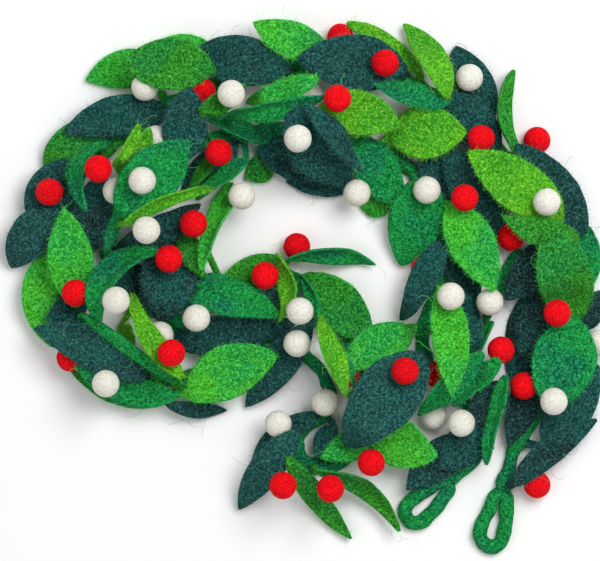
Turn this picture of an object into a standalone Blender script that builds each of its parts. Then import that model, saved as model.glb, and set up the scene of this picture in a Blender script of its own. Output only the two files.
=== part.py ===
"""Felt garland: a felted cord with leaves and balls, folded in two and laid in a ring."""

import math
from collections import namedtuple

import bmesh
import bpy
import numpy as np
from mathutils import Vector

# Driving dimensions, in metres.
GRID = 0.000735  # plan unit of the layout below, 27 to a ball
MIDDLE = (300.0, 278.0)  # the layout's middle, in plan units, y downwards
CORD_RADIUS = 0.0050
CORD_STEP = 0.024
FELT = 0.003
BALL_RADIUS = 0.010
CLEAR = 0.0008
NODE_GAP = 0.0004
WELD = 1e-6
CELL = 0.0015
FIELD = 0.25
STEM_HALF_WIDTH = 0.0032
STEM_ROOM = 0.0045
STEM_LEAN = 0.35  # cosine of the widest turn from a stem to its leaf
STEM_REACH = 0.024
TIE_TRIES = 60
ROLL = 0.0036  # how far a ball rolls from its place into a hollow
ROLL_STEPS = 5
LOOP_NECK_RADIUS = 0.0056
LOOP_END_RADIUS = 0.0090
LOOP_LENGTH = 0.0245
LOOP_POINTS = 24
CORD_SIDES_TURN = math.pi / 8  # turns a flat side of the eight-sided cord down

Leaf = namedtuple("Leaf", "tone root tip width roll bend")
Ball = namedtuple("Ball", "tone at")

TONES = {
    "dark": (0.012, 0.05, 0.048),
    "teal": (0.012, 0.075, 0.062),
    "emerald": (0.01, 0.17, 0.06),
    "green": (0.02, 0.16, 0.03),
    "bright": (0.04, 0.26, 0.035),
    "lime": (0.12, 0.33, 0.02),
    "white": (0.72, 0.69, 0.6),
    "red": (0.6, 0.006, 0.012),
}

# The cord's route from one end to the fold, and back beside itself to the other end.
ROUTE = [
    (506, 490), (511, 470), (520, 445), (544, 408), (563, 350), (566, 290), (550, 225), (512, 160),
    (455, 108), (395, 76), (330, 64), (262, 68), (195, 90), (130, 125), (80, 170),
    (57, 225), (55, 280), (80, 325), (125, 362), (178, 380), (232, 362), (278, 345),
    (312, 362), (330, 392), (322, 416), (302, 430), (296, 450), (312, 467), (342, 464),
    (362, 436), (362, 395), (348, 345), (322, 300), (285, 276), (240, 276), (200, 290),
    (160, 312), (125, 300), (108, 262), (112, 222), (135, 180), (175, 150), (230, 135),
    (290, 128), (350, 135), (402, 160), (434, 200), (446, 250), (436, 295), (424, 335),
    (434, 376), (464, 402), (484, 430), (479, 458), (454, 481),
]

# Leaves and balls from the lowest to the highest, in plan units and degrees.
# roll turns a leaf onto its edge, and bend carries its middle to one side.
LAYERS = [
    Leaf("bright", (160, 64), (84, 78), 40, 0, -4),
    Leaf("bright", (215, 54), (149, 50), 34, 10, -4),
    Leaf("green", (118, 140), (42, 166), 52, 0, -8),
    Leaf("dark", (46, 232), (68, 158), 54, 0, 6),
    Leaf("bright", (46, 252), (50, 348), 36, 0, -10),
    Leaf("dark", (82, 252), (102, 174), 42, 0, 0),
    Leaf("green", (170, 398), (60, 352), 42, 0, 8),
    Leaf("dark", (164, 404), (226, 412), 18, 20, -2),
    Leaf("green", (282, 260), (216, 288), 34, 0, 0),
    Leaf("green", (312, 276), (374, 338), 50, 0, -3),
    Leaf("dark", (292, 276), (268, 322), 34, 0, 0),
    Leaf("emerald", (302, 276), (318, 320), 14, 40, 4),
    Leaf("dark", (318, 416), (252, 468), 26, 20, -7),
    Leaf("dark", (474, 440), (407, 491), 40, 0, -4),
    Leaf("green", (392, 208), (357, 194), 30, 0, 0),
    Leaf("dark", (354, 184), (286, 180), 30, 10, 0),
    Leaf("green", (272, 160), (245, 178), 28, 0, 0),
    Leaf("emerald", (358, 144), (402, 204), 44, 0, 0),
    Leaf("dark", (455, 245), (476, 312), 34, 0, 0),
    Leaf("dark", (538, 290), (516, 388), 40, 15, 0),
    Leaf("emerald", (524, 250), (486, 326), 22, 50, 0),
    Leaf("emerald", (495, 322), (450, 400), 24, 50, 0),
    Leaf("emerald", (585, 292), (593, 226), 30, 0, 0),
    Leaf("dark", (580, 330), (604, 290), 30, 0, 0),
    Leaf("dark", (540, 366), (510, 446), 34, 0, 0),
    Leaf("teal", (546, 448), (602, 366), 46, 0, 0),
    Leaf("dark", (490, 424), (440, 470), 42, 0, 0),
    Leaf("dark", (424, 146), (466, 206), 42, 0, 0),
    Leaf("dark", (448, 150), (508, 242), 46, 0, 0),
    Leaf("dark", (330, 168), (255, 147), 44, 0, 0),
    Leaf("dark", (234, 146), (180, 196), 38, 0, 0),
    Leaf("dark", (112, 264), (152, 300), 36, 0, 0),
    Leaf("dark", (86, 300), (46, 320), 28, 0, 0),
    Leaf("dark", (334, 426), (316, 458), 24, 0, 0),
    Leaf("dark", (456, 290), (478, 350), 30, 0, 0),
    Leaf("dark", (552, 300), (520, 356), 36, 0, 0),
    Leaf("dark", (506, 384), (470, 424), 34, 0, 0),
    Leaf("dark", (560, 240), (506, 300), 40, 0, 0),
    Leaf("emerald", (236, 284), (190, 282), 22, 20, 0),
    Ball("white", (112, 196)),
    Ball("white", (596, 338)),
    Ball("red", (514, 242)),
    Ball("red", (496, 345)),
    Ball("red", (519, 391)),
    Ball("white", (485, 307)),
    Ball("red", (534, 144)),
    Ball("red", (336, 40)),
    Ball("red", (432, 379)),
    Ball("white", (435, 422)),
    Ball("white", (283, 429)),
    Ball("red", (352, 369)),
    Ball("red", (292, 251)),
    Ball("white", (272, 52)),
    Leaf("dark", (168, 112), (63, 132), 42, 0, -6),
    Ball("white", (151, 134)),
    Leaf("lime", (122, 174), (150, 128), 28, 45, 0),
    Leaf("lime", (116, 166), (141, 126), 16, 55, 0),
    Leaf("emerald", (108, 143), (66, 180), 16, 40, -6),
    Leaf("emerald", (98, 150), (86, 210), 24, 50, -10),
    Leaf("dark", (286, 72), (187, 55), 50, 0, -4),
    Leaf("bright", (326, 52), (253, 23), 38, 8, 2),
    Leaf("lime", (422, 70), (347, 21), 28, 30, -1),
    Leaf("dark", (490, 122), (457, 44), 48, 0, 2),
    Leaf("dark", (432, 104), (500, 152), 48, 0, 8),
    Leaf("green", (522, 156), (516, 68), 26, 50, 19),
    Leaf("dark", (584, 236), (516, 144), 50, 0, -3),
    Leaf("emerald", (157, 336), (197, 322), 32, 0, 0),
    Leaf("dark", (168, 342), (298, 322), 42, 15, 0),
    Leaf("dark", (310, 326), (245, 408), 38, 10, 0),
    Leaf("emerald", (190, 300), (282, 318), 38, -25, 8),
    Leaf("emerald", (430, 180), (402, 265), 56, 0, 0),
    Ball("red", (420, 264)),
    Leaf("dark", (443, 242), (403, 320), 32, 25, 0),
    Leaf("bright", (410, 328), (341, 366), 44, 15, 2),
    Leaf("bright", (388, 430), (321, 459), 34, 0, 0),
    Leaf("bright", (372, 424), (438, 456), 48, 0, -6),
    Leaf("emerald", (352, 380), (325, 350), 20, 40, 0),
    Leaf("dark", (176, 242), (160, 323), 56, 0, 0),
    Leaf("green", (180, 228), (203, 276), 24, 0, 0),
    Leaf("emerald", (288, 259), (376, 265), 24, 50, 11),
    Leaf("emerald", (262, 142), (204, 115), 28, 40, 0),
    Leaf("lime", (392, 132), (467, 132), 54, 0, 0),
    Leaf("bright", (232, 182), (202, 270), 26, 45, 0),
    Leaf("emerald", (248, 160), (196, 200), 24, 45, 0),
    Leaf("lime", (120, 325), (131, 351), 20, 20, 0),
    Ball("red", (74, 361)),
    Leaf("emerald", (176, 396), (76, 366), 30, 0, 9),
    Leaf("teal", (142, 380), (33, 329), 40, 0, -8),
    Leaf("emerald", (84, 313), (190, 385), 15, 20, -4),
    Leaf("teal", (298, 432), (239, 512), 34, 0, -4),
    Leaf("dark", (118, 250), (200, 204), 34, 20, -4),
    Ball("red", (202, 86)),
    Ball("white", (315, 89)),
    Ball("red", (481, 141)),
    Ball("white", (165, 340)),
    Ball("white", (140, 92)),
    Leaf("green", (212, 68), (122, 66), 52, 0, -2),
    Leaf("dark", (182, 160), (190, 88), 46, 0, 0),
    Leaf("green", (218, 158), (188, 188), 16, 45, 0),
    Leaf("emerald", (106, 252), (124, 198), 12, 0, 0),
    Leaf("emerald", (120, 214), (189, 141), 56, 0, 0),
    Leaf("teal", (58, 212), (10, 268), 44, 0, -6),
    Leaf("bright", (76, 304), (64, 208), 46, 0, 0),
    Leaf("lime", (126, 226), (213, 189), 20, 45, 8),
    Leaf("emerald", (102, 322), (160, 252), 36, -40, 22),
    Leaf("lime", (182, 376), (132, 293), 26, 35, 8),
    Leaf("bright", (188, 396), (278, 356), 54, 0, 6),
    Leaf("dark", (403, 66), (298, 59), 57, 0, 0),
    Leaf("emerald", (448, 104), (374, 86), 26, 20, 0),
    Leaf("lime", (448, 98), (404, 22), 32, 25, -6),
    Leaf("lime", (318, 112), (400, 126), 46, 8, 6),
    Leaf("green", (202, 112), (245, 84), 28, 40, 0),
    Leaf("bright", (316, 80), (246, 100), 28, 30, 4),
    Leaf("emerald", (228, 117), (325, 99), 24, 40, 0),
    Leaf("dark", (292, 112), (346, 184), 64, 0, 0),
    Leaf("dark", (306, 108), (362, 174), 20, -30, 0),
    Leaf("lime", (276, 254), (279, 322), 26, 50, 15),
    Leaf("lime", (344, 392), (321, 316), 28, 45, 4),
    Leaf("emerald", (500, 360), (452, 406), 24, 35, 0),
    Leaf("emerald", (482, 352), (418, 416), 30, -25, 0),
    Leaf("teal", (424, 356), (347, 447), 64, 0, -4),
    Leaf("green", (288, 458), (352, 541), 26, 20, -2),
    Leaf("green", (314, 470), (400, 533), 24, 40, 18),
    Leaf("bright", (450, 204), (493, 291), 48, 0, 2),
    Leaf("bright", (441, 288), (450, 394), 38, 0, 4),
    Leaf("lime", (560, 214), (467, 152), 52, 0, 0),
    Leaf("green", (580, 238), (501, 216), 30, 20, 6),
    Leaf("green", (578, 319), (548, 225), 55, 0, 2),
    Leaf("emerald", (576, 320), (548, 412), 64, 0, 0),
    Leaf("emerald", (507, 376), (486, 465), 22, 50, 0),
    Ball("red", (534, 484)),
    Leaf("dark", (514, 486), (598, 420), 30, 15, 5),
    Ball("red", (103, 170)),
    Ball("red", (52, 197)),
    Ball("white", (142, 187)),
    Ball("red", (214, 148)),
    Ball("white", (237, 101)),
    Ball("red", (332, 106)),
    Ball("red", (380, 66)),
    Ball("white", (293, 136)),
    Ball("white", (357, 188)),
    Ball("white", (237, 196)),
    Ball("white", (465, 82)),
    Ball("white", (422, 190)),
    Ball("red", (469, 203)),
    Ball("white", (543, 200)),
    Ball("white", (144, 226)),
    Ball("red", (199, 229)),
    Ball("red", (165, 254)),
    Ball("red", (71, 288)),
    Ball("white", (114, 305)),
    Ball("white", (202, 313)),
    Ball("red", (168, 357)),
    Ball("white", (112, 378)),
    Ball("red", (270, 273)),
    Ball("white", (295, 306)),
    Ball("white", (302, 341)),
    Ball("white", (330, 403)),
    Ball("red", (399, 365)),
    Ball("white", (454, 301)),
    Ball("red", (551, 308)),
    Ball("white", (557, 403)),
    Ball("white", (466, 418)),
    Ball("red", (366, 457)),
    Ball("red", (288, 479)),
    Ball("red", (335, 482)),
]

STATIONS = (0.0, 0.18, 0.48, 0.8, 1.0)
STIFFNESS = 0.08  # how far felt spans a hollow, from following it at 0 to a straight sheet at 1
FLAT_ROLL = 30  # past this many degrees a leaf shows its edge, and its midrib isn't modelled
RIB_WIDTH = 0.028  # nor is it in a leaf narrower than this


def clear_scene():
    for obj in list(bpy.data.objects):
        bpy.data.objects.remove(obj)


def plan(point):
    """A layout point as metres, x to the right and y upwards."""
    return np.array([(point[0] - MIDDLE[0]) * GRID, (MIDDLE[1] - point[1]) * GRID])


def felt_material(tone):
    name = "felt_" + tone
    material = bpy.data.materials.get(name)
    if material is None:
        material = bpy.data.materials.new(name)
        material.use_nodes = True
        shader = material.node_tree.nodes["Principled BSDF"]
        shader.inputs["Base Color"].default_value = (*TONES[tone], 1.0)
        shader.inputs["Roughness"].default_value = 0.95
        shader.inputs["Metallic"].default_value = 0.0
        material.diffuse_color = (*TONES[tone], 1.0)
    return material


def smooth_route(points, step):
    """Points a step apart on a Catmull-Rom curve through the given ones."""
    padded = [2 * points[0] - points[1], *points, 2 * points[-1] - points[-2]]
    fine = []
    for a, b, c, d in zip(padded, padded[1:], padded[2:], padded[3:]):
        for t in np.linspace(0.0, 1.0, 16, endpoint=False):
            fine.append(
                0.5 * (2 * b + (c - a) * t + (2 * a - 5 * b + 4 * c - d) * t**2
                       + (3 * b - a - 3 * c + d) * t**3)
            )
    fine = np.array([*fine, points[-1]])
    run = np.concatenate([[0.0], np.cumsum(np.linalg.norm(np.diff(fine, axis=0), axis=1))])
    stops = np.linspace(0.0, run[-1], round(run[-1] / step) + 1)
    return np.column_stack([np.interp(stops, run, fine[:, i]) for i in range(2)])


class Pile:
    """The height of what has been laid so far, on a grid over the plan."""

    def __init__(self):
        self.count = round(2 * FIELD / CELL) + 1
        self.top = np.zeros((self.count, self.count))
        axis = np.linspace(-FIELD, FIELD, self.count)
        self.x, self.y = np.meshgrid(axis, axis, indexing="ij")

    def cells(self, xy):
        index = np.rint((xy + FIELD) / CELL).astype(int)
        return index[..., 0], index[..., 1]

    def height(self, xy):
        return self.top[self.cells(xy)]

    def lay_points(self, points):
        i, j = self.cells(points[:, :2])
        for di in (0, 1, -1):
            for dj in (0, 1, -1):
                np.maximum.at(self.top, (i + di, j + dj), points[:, 2])

    def lay_cord(self, route):
        """Adds a cord lying on the surface."""
        for reach in np.linspace(0.0, CORD_RADIUS, 5):
            for angle in np.linspace(0.0, 2 * math.pi, 12, endpoint=False):
                shift = reach * np.array([math.cos(angle), math.sin(angle)])
                level = np.full(len(route), 2 * CORD_RADIUS)
                self.lay_points(np.column_stack([route + shift, level]))

    def drop_ball(self, centre, radius):
        """The lowest place near centre where a ball comes to rest, once it is laid there."""
        found = []
        for dx in np.linspace(-ROLL, ROLL, ROLL_STEPS):
            for dy in np.linspace(-ROLL, ROLL, ROLL_STEPS):
                off = np.hypot(self.x - centre[0] - dx, self.y - centre[1] - dy)
                near = off < radius + CELL
                dome = np.sqrt(np.maximum(radius**2 - off[near] ** 2, 0.0))
                z = max(radius, (self.top[near] + dome).max() + CLEAR)
                found.append((round(z, 5), math.hypot(dx, dy), centre[0] + dx, centre[1] + dy))
        z, _, x, y = min(found)
        off = np.hypot(self.x - x, self.y - y)
        near = off < radius + CELL
        dome = np.sqrt(np.maximum(radius**2 - off[near] ** 2, 0.0))
        self.top[near] = np.maximum(self.top[near], z + dome)
        return np.array([x, y, z])


def half_width(u):
    """A leaf's half width along its length, as a share of its full width."""
    return 0.5 * (math.sin(math.pi * min(1.0, 0.06 + 0.9 * u**0.88)) ** 0.85) if u < 1 else 0.03


def leaf_frame(leaf):
    root = plan(leaf.root)
    tip = plan(leaf.tip)
    along = tip - root
    side = np.array([-along[1], along[0]]) / np.linalg.norm(along)
    return root, along, side


def leaf_point(leaf, u, across):
    """Plan place and height offset of a point across a leaf, across from -1 to 1."""
    root, along, side = leaf_frame(leaf)
    roll = math.radians(leaf.roll)
    reach = half_width(u) * leaf.width * GRID * across
    bow = 4 * u * (1 - u) * leaf.bend * GRID
    place = root + along * u + side * (bow + reach * math.cos(roll))
    return place, abs(reach) * 0.22 + reach * math.sin(roll)


def resting_heights(pile, leaf):
    """The height of each station, carried over all that the leaf lies on."""
    needs = []
    for low, high in zip((STATIONS[0], *STATIONS), (*STATIONS, STATIONS[-1])):
        need = 0.0
        for u in np.linspace(low, high, 7):
            for across in np.linspace(-1.0, 1.0, 13):
                place, rise = leaf_point(leaf, u, across)
                need = max(need, pile.height(place) - rise)
        needs.append(need)
    needs = [max(a, b) for a, b in zip(needs, needs[1:])]
    spans = [arched(needs, k) for k in range(len(STATIONS))]
    return [a + STIFFNESS * (b - a) + FELT / 2 + CLEAR for a, b in zip(needs, spans)]


def arched(needs, k):
    """The highest chord over station k, as a stiff sheet spans what it rests on."""
    best = needs[k]
    for i in range(k):
        for j in range(k + 1, len(needs)):
            t = (STATIONS[k] - STATIONS[i]) / (STATIONS[j] - STATIONS[i])
            best = max(best, needs[i] * (1 - t) + needs[j] * t)
    return best


def clear_of(obstacles, start, end):
    """Whether a straight stem passes every ball and loop laid so far."""
    for centre, radius in obstacles:
        t = np.clip((centre - start) @ (end - start) / ((end - start) @ (end - start)), 0.0, 1.0)
        if np.linalg.norm(start + t * (end - start) - centre) < radius + STEM_ROOM:
            return False
    return True


def stem_start(cord, root, along, obstacles, reach):
    """The nearest place on the cord, behind the leaf, from which a stem reaches it freely."""
    gaps = np.linalg.norm(cord - root[:2], axis=1)
    behind = (root[:2] - cord) @ along > STEM_LEAN * gaps * np.linalg.norm(along)
    for index in gaps.argsort():
        start = np.array([*cord[index], CORD_RADIUS])
        if gaps[index] < reach and behind[index] and clear_of(obstacles, start, root):
            return start
    return None


def tie_ends(cord, middles, obstacles):
    """The shortest free way up from the cord to the underside of a leaf."""
    found = []
    for middle in middles:
        gaps = np.linalg.norm(cord - middle[:2], axis=1)
        for index in gaps.argsort()[:TIE_TRIES]:
            start = np.array([*cord[index], CORD_RADIUS])
            if clear_of(obstacles, start, middle):
                found.append((gaps[index], tuple(start), tuple(middle)))
                break
    length, start, end = min(found)
    return np.array(start), np.array(end)


def leaf_rows(pile, leaf, cord, obstacles):
    """Rows of points across the leaf from its stem to its tip, and across the tie under it."""
    heights = resting_heights(pile, leaf)
    ribbed = abs(leaf.roll) < FLAT_ROLL and leaf.width * GRID > RIB_WIDTH
    steps = (-1.0, 0.0, 1.0) if ribbed else (-1.0, 1.0)
    rows = []
    for u, height in zip(STATIONS, heights):
        row = []
        for across in steps:
            place, rise = leaf_point(leaf, u, across)
            row.append(np.array([*place, height + rise]))
        rows.append(row)
    along, side = leaf_frame(leaf)[1:]
    sideways = np.array([*side, 0.0]) * STEM_HALF_WIDTH
    middles = [sum(row) / len(row) for row in rows]
    start = stem_start(cord, middles[0], along, obstacles, STEM_REACH)
    if start is not None:
        return [[start + sideways * across for across in steps], *rows], None
    ends = tie_ends(cord, middles[1:-1], obstacles)
    return rows, [[end - sideways, end + sideways] for end in ends]


def lay_leaf(pile, rows):
    """Adds a leaf's upper face to the pile."""
    laid = []
    for here, there in zip(rows, rows[1:]):
        for t in np.linspace(0.0, 1.0, 14):
            row = [a * (1 - t) + b * t for a, b in zip(here, there)]
            for left, right in zip(row, row[1:]):
                laid += [left * (1 - s) + right * s for s in np.linspace(0.0, 1.0, 18)]
    laid = np.array(laid)
    laid[:, 2] += FELT / 2
    pile.lay_points(laid)


def felt_sheet(name, rows, tone):
    """A sheet of even thickness over rows of points, as a closed mesh."""
    grid = np.array(rows)
    lengthways = np.gradient(grid, axis=0)
    sideways = np.gradient(grid, axis=1)
    normal = np.cross(lengthways, sideways)
    normal /= np.linalg.norm(normal, axis=2, keepdims=True)
    mesh = bpy.data.meshes.new(name)
    work = bmesh.new()
    faces = []
    for level in (0.5, -0.5):
        points = grid + normal * FELT * level
        faces.append([[work.verts.new(Vector(p)) for p in row] for row in points])
    upper, lower = faces
    last = len(rows) - 1
    strips = range(len(rows[0]) - 1)
    for k in range(last):
        for m in strips:
            work.faces.new((upper[k][m], upper[k + 1][m], upper[k + 1][m + 1], upper[k][m + 1]))
            work.faces.new((lower[k][m], lower[k][m + 1], lower[k + 1][m + 1], lower[k + 1][m]))
        work.faces.new((upper[k][0], lower[k][0], lower[k + 1][0], upper[k + 1][0]))
        work.faces.new((upper[k][-1], upper[k + 1][-1], lower[k + 1][-1], lower[k][-1]))
    for m in strips:
        work.faces.new((upper[0][m], upper[0][m + 1], lower[0][m + 1], lower[0][m]))
        work.faces.new((upper[last][m], lower[last][m], lower[last][m + 1], upper[last][m + 1]))
    bmesh.ops.recalc_face_normals(work, faces=work.faces)
    bmesh.ops.triangulate(work, faces=work.faces)
    work.to_mesh(mesh)
    work.free()
    mesh.materials.append(felt_material(tone))
    obj = bpy.data.objects.new(name, mesh)
    bpy.context.scene.collection.objects.link(obj)
    return obj


def cord_tube(name, points, cyclic):
    """A felt cord along flat-lying points, one of its eight sides on the surface."""
    curve = bpy.data.curves.new(name, "CURVE")
    curve.dimensions = "3D"
    curve.twist_mode = "Z_UP"
    curve.bevel_depth = CORD_RADIUS
    curve.bevel_resolution = 2
    curve.use_fill_caps = not cyclic
    spline = curve.splines.new("POLY")
    spline.points.add(len(points) - 1)
    height = CORD_RADIUS * math.cos(CORD_SIDES_TURN)
    for place, (x, y) in zip(spline.points, points):
        place.co = (x, y, height, 1.0)
        place.tilt = CORD_SIDES_TURN
    spline.use_cyclic_u = cyclic
    curve.materials.append(felt_material("emerald"))
    obj = bpy.data.objects.new(name, curve)
    bpy.context.scene.collection.objects.link(obj)
    return obj


def as_mesh(obj):
    """The evaluated object as a plain mesh object of the same name."""
    name = obj.name
    graph = bpy.context.evaluated_depsgraph_get()
    mesh = bpy.data.meshes.new_from_object(obj.evaluated_get(graph))
    bpy.data.objects.remove(obj)
    made = bpy.data.objects.new(name, mesh)
    bpy.context.scene.collection.objects.link(made)
    return made


def weld(mesh):
    """Joins a tube's caps to its sides."""
    work = bmesh.new()
    work.from_mesh(mesh)
    bmesh.ops.remove_doubles(work, verts=work.verts, dist=WELD)
    bmesh.ops.recalc_face_normals(work, faces=work.faces)
    work.to_mesh(mesh)
    work.free()


def loop_route(neck, toward):
    """The middle line of a closed teardrop of cord, its narrow end against the cord's end."""
    ahead = toward / np.linalg.norm(toward)
    side = np.array([-ahead[1], ahead[0]])
    near = neck + ahead * (LOOP_NECK_RADIUS + CORD_RADIUS + NODE_GAP)
    far = near + ahead * LOOP_LENGTH
    lean = math.asin((LOOP_END_RADIUS - LOOP_NECK_RADIUS) / LOOP_LENGTH)
    quarter = math.pi / 2
    points = []
    for angle in np.linspace(-quarter - lean, quarter + lean, LOOP_POINTS // 2):
        points.append(far + LOOP_END_RADIUS * (ahead * math.cos(angle) + side * math.sin(angle)))
    points.append(0.5 * (points[-1] + near + LOOP_NECK_RADIUS * side))
    for angle in np.linspace(quarter + lean, 3 * quarter - lean, LOOP_POINTS // 3):
        points.append(near + LOOP_NECK_RADIUS * (ahead * math.cos(angle) + side * math.sin(angle)))
    points.append(0.5 * (points[0] + near - LOOP_NECK_RADIUS * side))
    return np.array(points)


def hanging_loop(name, route):
    return as_mesh(cord_tube(name, route, True))


def felt_ball(name, centre, tone):
    mesh = bpy.data.meshes.new(name)
    work = bmesh.new()
    bmesh.ops.create_icosphere(work, subdivisions=2, radius=BALL_RADIUS)
    work.to_mesh(mesh)
    work.free()
    mesh.shade_smooth()
    mesh.materials.append(felt_material(tone))
    obj = bpy.data.objects.new(name, mesh)
    obj.location = centre
    bpy.context.scene.collection.objects.link(obj)
    return obj


def fuse(base, leaves):
    """Felts the leaves onto the cord as one body."""
    group = bpy.data.collections.new("leaves")
    bpy.context.scene.collection.children.link(group)
    for leaf in leaves:
        bpy.context.scene.collection.objects.unlink(leaf)
        group.objects.link(leaf)
        leaf.hide_render = True
        leaf.display_type = "WIRE"
    union = base.modifiers.new("felted_on", "BOOLEAN")
    union.operation = "UNION"
    union.operand_type = "COLLECTION"
    union.collection = group
    union.solver = "EXACT"
    union.material_mode = "TRANSFER"
    fused = as_mesh(base)
    trim_loose(fused.data)
    return fused


def trim_loose(mesh):
    """Takes off the slivers that no face joins to the garland."""
    work = bmesh.new()
    work.from_mesh(mesh)
    left = set(work.faces)
    islands = []
    while left:
        front = [left.pop()]
        island = list(front)
        while front:
            for edge in front.pop().edges:
                pair = edge.link_faces if len(edge.link_faces) == 2 else ()
                for face in pair:
                    if face in left:
                        left.remove(face)
                        front.append(face)
                        island.append(face)
        islands.append(island)
    islands.sort(key=len)
    for island in islands[:-1]:
        bmesh.ops.delete(work, geom=island, context="FACES")
    work.to_mesh(mesh)
    work.free()


def centre_on_origin(objects):
    """Moves everything so that the origin is under the middle of the garland."""
    bpy.context.view_layer.update()
    corners = [obj.matrix_world @ Vector(corner) for obj in objects for corner in obj.bound_box]
    middle_x = (min(p.x for p in corners) + max(p.x for p in corners)) / 2
    middle_y = (min(p.y for p in corners) + max(p.y for p in corners)) / 2
    for obj in objects:
        obj.location.x -= middle_x
        obj.location.y -= middle_y


def main():
    clear_scene()
    cord = smooth_route([plan(point) for point in ROUTE], CORD_STEP)
    pile = Pile()
    fine = smooth_route([plan(point) for point in ROUTE], CELL)
    pile.lay_cord(fine)
    routes = [loop_route(cord[0], cord[0] - cord[1]), loop_route(cord[-1], cord[-1] - cord[-2])]
    for route in routes:
        pile.lay_cord(smooth_route([*route, route[0]], CELL))
    obstacles = [(np.array([*p, CORD_RADIUS]), CORD_RADIUS) for route in routes for p in route]
    leaves = []
    ties = []
    balls = []
    for item in LAYERS:
        if isinstance(item, Leaf):
            rows, tie = leaf_rows(pile, item, fine, obstacles)
            lay_leaf(pile, rows)
            name = f"leaf_{len(leaves) + 1:03d}"
            leaves.append(felt_sheet(name, rows, item.tone))
            if tie:
                ties.append(felt_sheet(f"tie_{name}", tie, item.tone))
        else:
            centre = pile.drop_ball(plan(item.at), BALL_RADIUS)
            obstacles.append((centre, BALL_RADIUS))
            balls.append(felt_ball(f"ball_{item.tone}_{len(balls) + 1:02d}", centre, item.tone))
    vine = as_mesh(cord_tube("vine", cord, False))
    weld(vine.data)
    vine = fuse(vine, leaves + ties)
    loops = [hanging_loop(*pair) for pair in zip(("loop_outer", "loop_inner"), routes)]
    centre_on_origin([vine, *loops, *balls, *leaves, *ties])


main()
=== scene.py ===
import math
import random

import bmesh
import bpy
import numpy as np
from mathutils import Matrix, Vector, noise


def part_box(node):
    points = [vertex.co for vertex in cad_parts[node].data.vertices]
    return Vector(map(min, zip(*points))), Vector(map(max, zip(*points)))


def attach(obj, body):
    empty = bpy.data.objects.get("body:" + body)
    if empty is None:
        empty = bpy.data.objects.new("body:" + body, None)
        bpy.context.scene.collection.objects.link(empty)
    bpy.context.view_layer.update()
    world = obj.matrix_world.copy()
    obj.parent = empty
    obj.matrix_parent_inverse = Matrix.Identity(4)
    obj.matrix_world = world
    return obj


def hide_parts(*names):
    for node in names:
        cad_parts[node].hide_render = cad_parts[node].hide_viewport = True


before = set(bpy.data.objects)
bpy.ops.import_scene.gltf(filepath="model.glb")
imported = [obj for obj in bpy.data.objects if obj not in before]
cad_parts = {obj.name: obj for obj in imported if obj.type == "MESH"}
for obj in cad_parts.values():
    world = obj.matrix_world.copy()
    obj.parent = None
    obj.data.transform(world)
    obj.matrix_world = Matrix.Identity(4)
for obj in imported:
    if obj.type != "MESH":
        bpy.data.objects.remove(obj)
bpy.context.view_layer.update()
print("garland: frame loaded")

# The layout: places in plan units from the picture's corner, y downwards, 27 units to a ball. "probes" and
# "lay" say at how many points along and across a leaf the pile is looked at, and then raised.
layout = {"unit": 0.000735, "middle": (300.0, 278.0), "field": 0.25, "cell": 0.0015,
          "probes": (7, 13), "lay": (14, 18)}
felt = {"thickness": 0.003, "gap": 0.0008, "stiffness": 0.08, "cup": 0.22,
        "stations": (0.0, 0.18, 0.48, 0.8, 1.0), "ribbedRoll": 30, "ribbedWidth": 0.028}
cordCut = {"radius": 0.0050, "length": 1.92, "flatTurn": math.pi / 8}
loopCut = {"neck": 0.0056, "end": 0.0090, "length": 0.0245, "points": 24, "gap": 0.0004, "step": 0.024}
stemCut = {"halfWidth": 0.0032, "room": 0.0045, "lean": 0.35, "reach": 0.024, "tries": 60}
ballCut = {"radius": 0.010, "roll": 0.0036, "rollSteps": 5}
clearOfFloor = 0.0003

# The cord's route from one end to the fold and back.
route = [
    (506, 490), (511, 470), (520, 445), (544, 408), (563, 350), (566, 290), (550, 225), (512, 160),
    (455, 108), (395, 76), (330, 64), (262, 68), (195, 90), (130, 125), (80, 170),
    (57, 225), (55, 280), (80, 325), (125, 362), (178, 380), (232, 362), (278, 345),
    (312, 362), (330, 392), (322, 416), (302, 430), (296, 450), (312, 467), (342, 464),
    (362, 436), (362, 395), (348, 345), (322, 300), (285, 276), (240, 276), (200, 290),
    (160, 312), (125, 300), (108, 262), (112, 222), (135, 180), (175, 150), (230, 135),
    (290, 128), (350, 135), (402, 160), (434, 200), (446, 250), (436, 295), (424, 335),
    (434, 376), (464, 402), (484, 430), (479, 458), (454, 481),
]

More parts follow.
